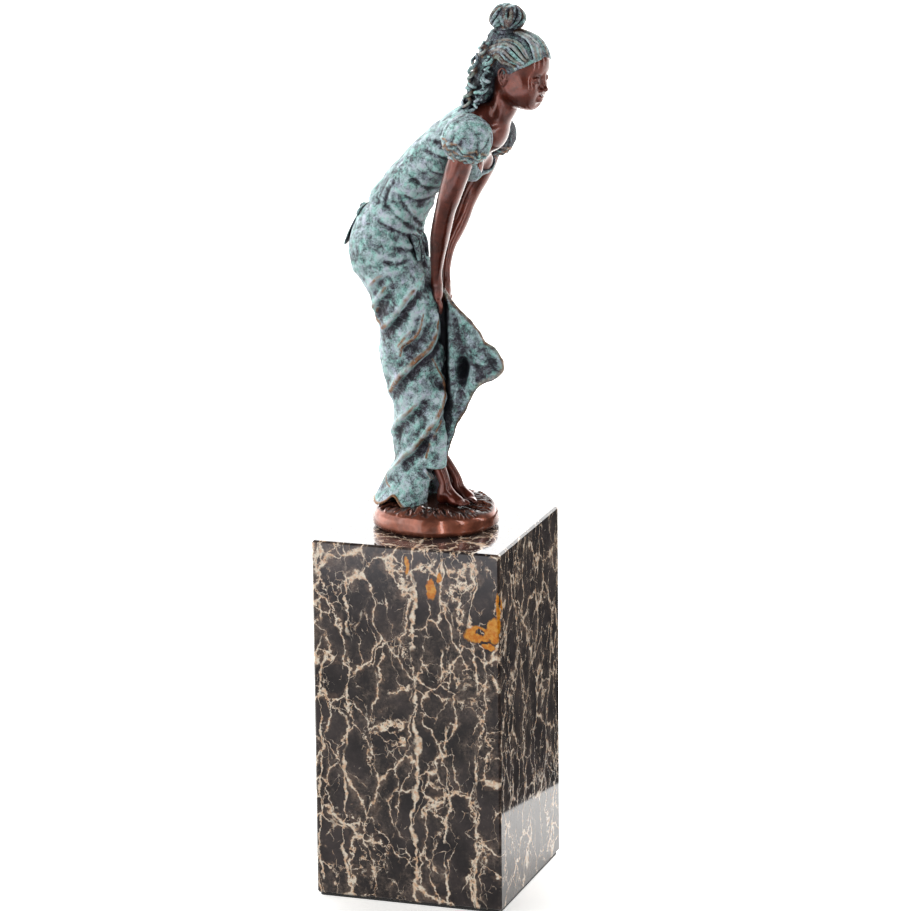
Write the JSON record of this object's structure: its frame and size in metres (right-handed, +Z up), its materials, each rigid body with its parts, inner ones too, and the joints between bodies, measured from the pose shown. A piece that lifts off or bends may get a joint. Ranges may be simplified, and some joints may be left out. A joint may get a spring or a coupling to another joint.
{
  "type": "bronze statuette",
  "caption": "Bronze figure of a leaning girl in a wind-blown dress, standing on a grassy ground casting bolted through a tall square marble block.",
  "frame": {"origin": "centre of the felt's underside, on the surface that the statuette stands on", "axes": "+Z up along the block; +X the way the girl faces; her right side faces -Y"},
  "size_m": [0.0885, 0.079, 0.3638],
  "materials": {
    "marble": "polished black-and-gold marble with cream veins",
    "felt": "black felt",
    "steel": "zinc-plated steel",
    "bronze_ground": "glossy chestnut-brown patinated bronze",
    "bronze_skin": "satin reddish-brown patinated bronze",
    "bronze_dress": "verdigris patina, dark in the folds and rubbed to gold on the ridges",
    "bronze_hair": "verdigris patina over brown bronze"
  },
  "bodies": {
    "root": {"marble_block": "marble", "felt_sheet": "felt", "threaded_rod": "steel", "washer": "steel", "hex_nut": "steel", "ground_casting": "bronze_ground", "skirt_casting": "bronze_dress", "skirt_front_fold": "bronze_dress", "bodice_casting": "bronze_dress", "right_sleeve": "bronze_dress", "left_sleeve": "bronze_dress", "right_arm": "bronze_skin", "left_arm": "bronze_skin", "right_foot": "bronze_skin", "left_foot": "bronze_skin", "head_casting": "bronze_skin", "hair_casting": "bronze_hair", "hair_bun": "bronze_hair", "sash_bow": "bronze_dress", "sash_end": "bronze_dress"}
  },
  "joints": []
}
